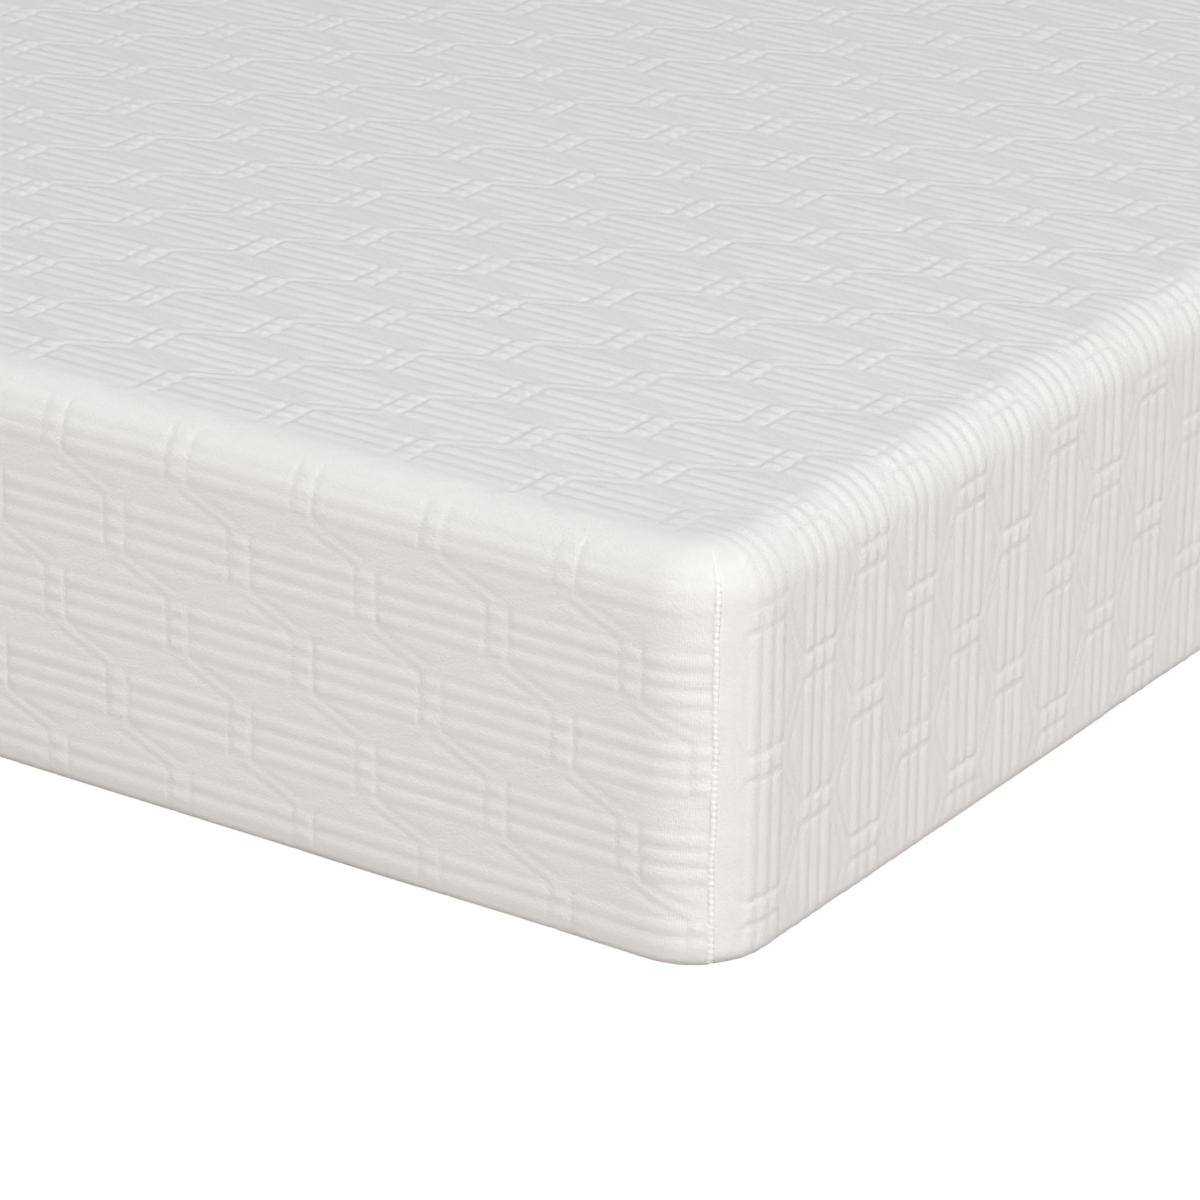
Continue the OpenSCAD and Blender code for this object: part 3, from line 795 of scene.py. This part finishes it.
def soft_slab(shell, pitch_s, pitch_t, breaks_t, wobble, seed):
    """Closed rounded slab as an upper and a lower half that meet halfway up."""
    parts = []
    mid_z = (shell.z0 + shell.z1) / 2
    lo, hi = shell.mid - shell.size / 2, shell.mid + shell.size / 2
    for upper in (True, False):
        half = Shell(np.array([lo[0], lo[1], mid_z - MEET]), hi, shell.corner_r,
                     shell.top_r if upper else shell.base_r, MEET, 0.0)
        flap = spaced(sorted({0.0, half.flat, half.flap, half.d1, half.d2}), pitch_s)
        s_lines = half.lines(half.s0, spaced([-half.s0, half.s0], pitch_t), flap)
        t_lines = half.lines(half.t0, spaced([-half.t0, *breaks_t, half.t0], pitch_t), flap)
        s, t, quads, weld = half.mesh(s_lines, t_lines)
        points, normal = half.place(s, t)
        reach = np.maximum(np.abs(s) - half.s0, np.abs(t) - half.t0)
        move = wobble * (value_noise(s, t, 60.0, seed) - 1) * step(half.d2, half.d2 - 12, reach)
        points = points + normal * move[:, None]
        if not upper:
            points[:, 2] = shell.z0 + shell.z1 - points[:, 2]
            quads = quads[:, ::-1]
        parts.append(compact(points, weld[quads]))
    return joined(parts)


def add_foam(name, node, corner_r, top_r, base_r, material, seed):
    """Foam layer with soft edges and a slightly uneven cut face."""
    lo, hi = box_mm(node)
    points, quads = soft_slab(Shell(lo, hi, corner_r, top_r, base_r, 0.0), 7.0, 14.0, [], 0.3, seed)
    obj = new_piece(name, points, quads, material, node)


def add_film(node, material):
    """Sprayed adhesive film between two foam layers, thicker in patches."""
    lo, hi = box_mm(node)
    half, mid = (hi - lo) / 2, (hi + lo) / 2
    x, y = np.meshgrid(spaced([-half[0], half[0]], 12.0), spaced([-half[1], half[1]], 12.0), indexing="ij")
    rough_x = np.where(np.abs(np.abs(x) - half[0]) < 1e-6, 2.5 * value_noise(y, x, 30.0, 21) - 2.5, 0)
    rough_y = np.where(np.abs(np.abs(y) - half[1]) < 1e-6, 2.5 * value_noise(x, y, 30.0, 22) - 2.5, 0)
    x, y = x + np.sign(x) * rough_x, y + np.sign(y) * rough_y
    edge = np.minimum(half[0] - np.abs(x), half[1] - np.abs(y))
    rise = (half[2] * (0.55 + 0.3 * value_noise(x, y, 35.0, 23))) * step(0, 8, edge)
    points, quads = closed_sheet(np.stack([x, y + mid[1], mid[2] + rise], -1),
                                 np.stack([x, y + mid[1], mid[2] - rise - 0.03], -1))
    obj = new_piece(node, points, quads, material, node)


def add_sock(sock_material, thread):
    """Fire sock: sleeve, two sewn-on ends and their seams."""
    lo, hi = box_mm("fire_sock_sleeve", "fire_sock_end_head", "fire_sock_end_foot")
    seam_y = [box_mm(n) for n in ("fire_sock_seam_foot", "fire_sock_seam_head")]
    shell = Shell(lo, hi, CORNER_R - COVER_T - SOCK_GAP, TOP_EDGE_R - COVER_T, BASE_EDGE_R - COVER_T + 0.4, 0.0)
    cuts = [(b[0][1] + b[1][1]) / 2 - shell.mid[1] for b in seam_y]
    points, quads = soft_slab(shell, 6.0, 9.0, cuts, 0.25, 31)
    centre = points[quads].mean(1)[:, 1] - shell.mid[1]
    perimeter = 2 * (shell.size[0] + shell.size[2])
    length = cuts[1] - cuts[0]
    end = (shell.size[0] + 2 * SOCK_END, shell.size[2] + 2 * SOCK_END)
    pieces = (("fire_sock_sleeve", (centre > cuts[0]) & (centre < cuts[1]), (perimeter, length)),
              ("fire_sock_end_foot", centre <= cuts[0], end),
              ("fire_sock_end_head", centre >= cuts[1], end))
    for name, mask, flat in pieces:
        p, q = compact(points, quads[mask])
        obj = new_piece(name, p, q, sock_material, name)
    for name, cut in zip(("fire_sock_seam_foot", "fire_sock_seam_head"), cuts):
        ring, out = seam_loop(shell, 2.0)
        n = len(ring)
        k = np.arange(n)
        path = np.stack([ring[:, 0], np.full(n, cut + shell.mid[1]), ring[:, 1]], -1)
        up = np.stack([out[:, 0], np.zeros(n), out[:, 1]], -1)
        across = np.broadcast_to(np.array([0, 1.0, 0]), (n, 3))
        swell = 0.92 + 0.08 * np.sin(k * 1.7)
        p, q, _ = tube(path - up * 0.35, across, up, 1.5 * swell, 0.5 * swell, 10, closed=True)
        new_piece(name, p, q, thread, name)


def seam_loop(shell, pitch):
    """Outline of the slab's cross section in X and Z, with outward directions."""
    half_x, half_z = shell.size[0] / 2, shell.size[2] / 2
    corner, facing = [], []
    for sx, sz, first, r in ((1, 1, 0, shell.top_r), (-1, 1, 90, shell.top_r),
                             (-1, -1, 180, shell.base_r), (1, -1, 270, shell.base_r)):
        angle = np.radians(first + np.linspace(0, 90, 10))
        c = np.stack([np.cos(angle), np.sin(angle)], -1)
        corner.append(np.array([sx * (half_x - r), sz * (half_z - r)]) + r * c)
        facing.append(c)
    corner, facing = np.concatenate(corner), np.concatenate(facing)
    out_p, out_n = [], []
    for a, b, na, nb in zip(corner, np.roll(corner, -1, 0), facing, np.roll(facing, -1, 0)):
        m = max(1, int(np.linalg.norm(b - a) / pitch))
        f = np.linspace(0, 1, m, endpoint=False)[:, None]
        out_p.append(a + (b - a) * f)
        out_n.append(na + (nb - na) * f)
    return np.concatenate(out_p) + shell.mid[[0, 2]], np.concatenate(out_n)


# ---------- zip and label ----------

# Stitching on a tape: distance of each line from the coil's edge, and pitch
TAPE_SEAMS, STITCH_PITCH = (3.6, 5.2), 2.6
LABEL_STITCH_PITCH = 3.4


def stitch(start, length, half_w, half_h):
    """One stitch along X, proud of a cloth that faces +Y."""
    f = np.linspace(0, 1, 5)
    x, y, z = start
    path = np.stack([x + length * f, y + half_h * np.sin(f * math.pi), np.full(5, z)], -1)
    across = np.broadcast_to(UP, (5, 3))
    up = np.broadcast_to(np.array([0, 1.0, 0]), (5, 3))
    return tube(path, across, up, half_w * np.sin(0.4 + f * 2.3), half_h, 6)


def add_zip_tape(node, side, material, thread):
    """Woven tape with a corded edge and two lines of stitching that hold the coil."""
    lo, hi = box_mm(node)
    xs = spaced([lo[0], hi[0]], 1.6)
    zs = np.concatenate([[lo[2], lo[2] + 0.3], np.linspace(lo[2] + 0.9, hi[2] - 0.9, 9), [hi[2] - 0.3, hi[2]]])
    x, z = np.meshgrid(xs, zs, indexing="ij")
    wave = 0.07 * np.sin(x * 2 * math.pi / 3.2) * np.sin((z - lo[2]) * 2 * math.pi / 3.0)
    edge = np.minimum(z - lo[2], hi[2] - z)
    face = hi[1] - 0.1 - 0.22 * np.exp(-(edge / 0.25) ** 2) + wave * 0.6
    back = lo[1] + 0.1 + 0.15 * np.exp(-(edge / 0.25) ** 2) + wave * 0.6
    points, quads = closed_sheet(np.stack([x, face, z], -1), np.stack([x, back, z], -1))
    obj = new_piece(node, points, quads, material, node)
    inner = lo[2] if side > 0 else hi[2]
    stitches = []
    for offset in TAPE_SEAMS:
        for x0 in np.arange(lo[0] + 6, hi[0] - 6, STITCH_PITCH):
            stitches.append(stitch((x0, hi[1] - 0.1, inner + side * offset), 2.0, 0.2, 0.16))
    points, faces = joined_tubes(stitches)
    new_piece(node + "_stitches", points, faces, thread)


def add_zip_coil(node, side, material):
    """Nylon coil: one monofilament spiral along the tape's edge."""
    lo, hi = box_mm(node)
    radius = 0.34
    pitch = 1.2
    turns = int((hi[0] - lo[0] - 2 * radius) / pitch)
    per_turn = 14
    n = turns * per_turn
    a = np.arange(n) * 2 * math.pi / per_turn
    half_y, half_z = (hi[1] - lo[1]) / 2 - radius, (hi[2] - lo[2]) / 2 - radius
    mid = (lo + hi) / 2
    x = lo[0] + radius + a / (2 * math.pi) * pitch

    def squared(v):
        return np.sign(v) * np.abs(v) ** 0.8

    path = np.stack([x, mid[1] + half_y * squared(np.sin(a)), mid[2] + side * half_z * squared(np.cos(a))], -1)
    along = unit(np.gradient(path, axis=0))
    across = unit(np.cross(along, path - np.stack([x, np.full(n, mid[1]), np.full(n, mid[2])], -1)))
    up = np.cross(across, along)
    points, quads, caps = tube(path, across, up, radius, radius, 6)
    new_piece(node, points, [quads, caps], material, node)


def bevelled(name, material, body, width):
    """Copy of a CAD node with rounded edges and a node material, which stands for the node."""
    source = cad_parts[name]
    mesh = source.data.copy()
    mesh.name = name
    mesh.materials.clear()
    mesh.materials.append(material)
    obj = bpy.data.objects.new(name, mesh)
    obj.matrix_world = source.matrix_world.copy()
    bpy.context.scene.collection.objects.link(obj)
    weld = obj.modifiers.new("weld", "WELD")
    weld.merge_threshold = 1e-6
    bevel = obj.modifiers.new("bevel", "BEVEL")
    bevel.width = width * MM
    bevel.segments = 3
    bevel.limit_method = "ANGLE"
    bevel.angle_limit = math.radians(35)
    bevel.use_clamp_overlap = True
    bpy.context.view_layer.update()
    final = bpy.data.meshes.new_from_object(obj.evaluated_get(bpy.context.evaluated_depsgraph_get()))
    obj.modifiers.clear()
    obj.data = final
    final.name = name
    for polygon in final.polygons:
        polygon.use_smooth = True
    final.set_sharp_from_angle(angle=math.radians(40))
    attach(obj, body)
    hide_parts(name)


def add_label(material, thread):
    """Blank satin care label, sewn down at its upper edge and free below."""
    lo, hi = box_mm("care_label")
    x, z = np.meshgrid(spaced([lo[0], hi[0]], 1.5), spaced([lo[2], hi[2]], 1.5), indexing="ij")
    free = 1 - step(0, 1, (z - lo[2]) / (hi[2] - lo[2]))
    lift = 1.1 * free ** 2 * (0.6 + 0.4 * np.sin((x - lo[0]) / 13.0 + 0.6)) + 0.12 * np.sin(x / 6.0) * free
    y = lo[1] + 0.25 + lift
    points, quads = closed_sheet(np.stack([x, y + 0.2, z], -1), np.stack([x, y, z], -1))
    obj = new_piece("care_label", points, quads, material, "care_label")
    stitches = []
    for x0 in np.arange(lo[0] + 2, hi[0] - 3.5, LABEL_STITCH_PITCH):
        stitches.append(stitch((x0, lo[1] + 0.42, hi[2] - 3.0), 2.6, 0.3, 0.22))
    points, faces = joined_tubes(stitches)
    new_piece("care_label_stitches", points, faces, thread)


# ---------- camera, light and floor ----------

AZIMUTH, ELEVATION, ROLL = 33.5, 23.4, 0.84
LENS = 189.0
DISTANCE = 2.8175
AIM = (0.4114, -0.9257, 0.1592)
CLIP = 500.0


def add_camera():
    data = bpy.data.cameras.new("camera")
    data.lens = LENS
    data.clip_end = CLIP
    camera = bpy.data.objects.new("camera", data)
    az, el = math.radians(AZIMUTH), math.radians(ELEVATION)
    forward = Vector((-math.sin(az) * math.cos(el), math.cos(az) * math.cos(el), -math.sin(el)))
    camera.location = Vector(AIM) - forward * DISTANCE
    camera.rotation_euler = forward.to_track_quat("-Z", "Y").to_euler()
    camera.rotation_euler.rotate_axis("Z", math.radians(ROLL))
    bpy.context.scene.collection.objects.link(camera)
    bpy.context.scene.camera = camera


def add_light(name, azimuth, elevation, distance, size, power, color):
    """Soft area light of the given width and height that faces the mattress, hidden from the camera."""
    data = bpy.data.lights.new(name, "AREA")
    data.shape = "RECTANGLE"
    data.size, data.size_y = size
    data.energy = power
    data.color = color
    light = bpy.data.objects.new(name, data)
    az, el = math.radians(azimuth), math.radians(elevation)
    toward = Vector((math.sin(az) * math.cos(el), -math.cos(az) * math.cos(el), math.sin(el)))
    light.location = Vector((0, 0, 0.1)) + toward * distance
    light.rotation_euler = (-toward).to_track_quat("-Z", "Y").to_euler()
    light.visible_camera = False
    bpy.context.scene.collection.objects.link(light)


FLOOR = (0.58, 0.58, 0.58)
FLOOR_GLOW, FLOOR_GLOW_STRENGTH = (1.0, 0.92, 0.89), 0.78
WORLD = (0.91, 1.0, 1.02)
WORLD_STRENGTH = 0.22
BOUNCE = (0.60, 0.54, 0.515)
FLOOR_HALF = 150.0
BACKDROP_RADIUS, BACKDROP_HEIGHT = 70.0, 60.0
LAMPS = (
    # name, azimuth, elevation, distance, (width, height), watts, colour
    ("right", 92, 28, 9.0, (2.9, 2.9), 206, (1.0, 0.978, 0.966)),
    ("front", 28, 33, 9.0, (2.9, 2.9), 515, (1.0, 0.972, 0.955)),
    ("above", 200, 78, 9.0, (5.0, 5.0), 140, (0.97, 1.0, 1.0)),
    ("rear", 180, 0, 4.0, (3.5, 0.3), 90, (1.0, 0.975, 0.96)),
    ("left", 270, 0, 4.0, (3.5, 0.3), 90, (1.0, 0.975, 0.96)),
)


def glow(g, color, strength):
    g.set(g.shader, "Emission Color", (*color, 1))
    g.set(g.shader, "Emission Strength", strength)


def stage_mesh(name, points, faces, material):
    mesh = bpy.data.meshes.new(name)
    mesh.from_pydata(points, [], faces)
    mesh.materials.append(material)
    obj = bpy.data.objects.new(name, mesh)
    bpy.context.scene.collection.objects.link(obj)
    return obj


def add_stage():
    """Pale floor, a far pale backdrop that lights nothing, and soft lights."""
    g = Graph("floor", FLOOR, 0.9, specular=0.1)
    glow(g, FLOOR_GLOW, FLOOR_GLOW_STRENGTH)
    square = [(x * FLOOR_HALF, y * FLOOR_HALF) for x, y in ((-1, -1), (1, -1), (1, 1), (-1, 1))]
    floor = stage_mesh("floor", [(x, y, 0) for x, y in square], [(0, 1, 2, 3)], g.material)
    bounce = stage_mesh("floor_bounce", [(x, y, -0.01) for x, y in square], [(0, 1, 2, 3)],
                        Graph("floor_bounce", BOUNCE, 1.0, specular=0.0).material)
    bounce.visible_camera = False

    pale = Graph("backdrop", (0.0, 0.0, 0.0), 1.0, specular=0.0)
    glow(pale, (0.93, 0.925, 0.92), 1.0)
    sides = 48
    turns = [2 * math.pi * k / sides for k in range(sides)]
    ring = [(BACKDROP_RADIUS * math.cos(a), BACKDROP_RADIUS * math.sin(a)) for a in turns]
    points = [(x, y, -1) for x, y in ring] + [(x, y, BACKDROP_HEIGHT) for x, y in ring]
    faces = [(k, (k + 1) % sides, sides + (k + 1) % sides, sides + k) for k in range(sides)]
    backdrop = stage_mesh("backdrop", points, faces, pale.material)
    for obj in (floor, backdrop):
        obj.visible_diffuse = obj.visible_glossy = obj.visible_transmission = obj.visible_shadow = False

    world = bpy.data.worlds.new("studio")
    bpy.context.scene.world = world
    world.use_nodes = True
    background = world.node_tree.nodes["Background"]
    background.inputs[0].default_value = (*WORLD, 1)
    background.inputs[1].default_value = WORLD_STRENGTH

    for lamp in LAMPS:
        add_light(*lamp)
    bpy.context.scene.view_settings.view_transform = "Standard"


# ---------- the whole mattress ----------

def build():
    knit = knit_material()
    thread = thread_material()
    metal = metal_material()
    nylon = nylon_material()
    shell = cover_shell()
    add_cover(shell, knit)
    for end, sign_y in (("foot", -1), ("head", 1)):
        for side, sign_x in (("left", -1), ("right", 1)):
            add_corner_seam(shell, f"corner_seam_{end}_{side}", sign_x, sign_y, thread)
    add_base_seam(thread)
    add_base_panel(cloth_material("base_cloth", (0.66, 0.66, 0.665), 0.0011),
                   cloth_material("grip_dot", (0.58, 0.58, 0.59), 0.004, sheen=0.0))

    foam_r = CORNER_R - COVER_T - SOCK_GAP - 1.3
    # node, top edge radius, base edge radius, colour, foam cell in metres, seed
    for node, top_r, base_r, color, cell, seed in (
            ("support_foam", 2.0, 6.7, (0.74, 0.75, 0.79), 0.0014, 41),
            ("transition_foam", 2.0, 2.0, (0.80, 0.83, 0.84), 0.0011, 42),
            ("memory_foam", 22.6, 2.0, (0.86, 0.84, 0.72), 0.0008, 43)):
        add_foam(node + "_layer", node, foam_r, top_r, base_r, foam_material(node, color, cell), seed)
    film = film_material("adhesive", (0.80, 0.78, 0.62))
    add_film("adhesive_film_lower", film)
    add_film("adhesive_film_upper", film)
    add_sock(cloth_material("sock_knit", (0.82, 0.80, 0.73), 0.0012, sheen=0.15), thread)

    tape = cloth_material("zip_tape", (0.83, 0.83, 0.82), 0.0006)
    add_zip_tape("zip_tape_upper", 1, tape, thread)
    add_zip_tape("zip_tape_lower", -1, tape, thread)
    add_zip_coil("zip_coil_upper", 1, nylon)
    add_zip_coil("zip_coil_lower", -1, nylon)
    bevelled("zip_end_stops", metal, "mattress", 0.35)
    bevelled("zip_slider_body", metal, "zip_slider", 0.22)
    bevelled("zip_pull_tab", metal, "zip_pull", 0.22)
    add_label(satin_material(), thread)


build()
add_stage()
add_camera()
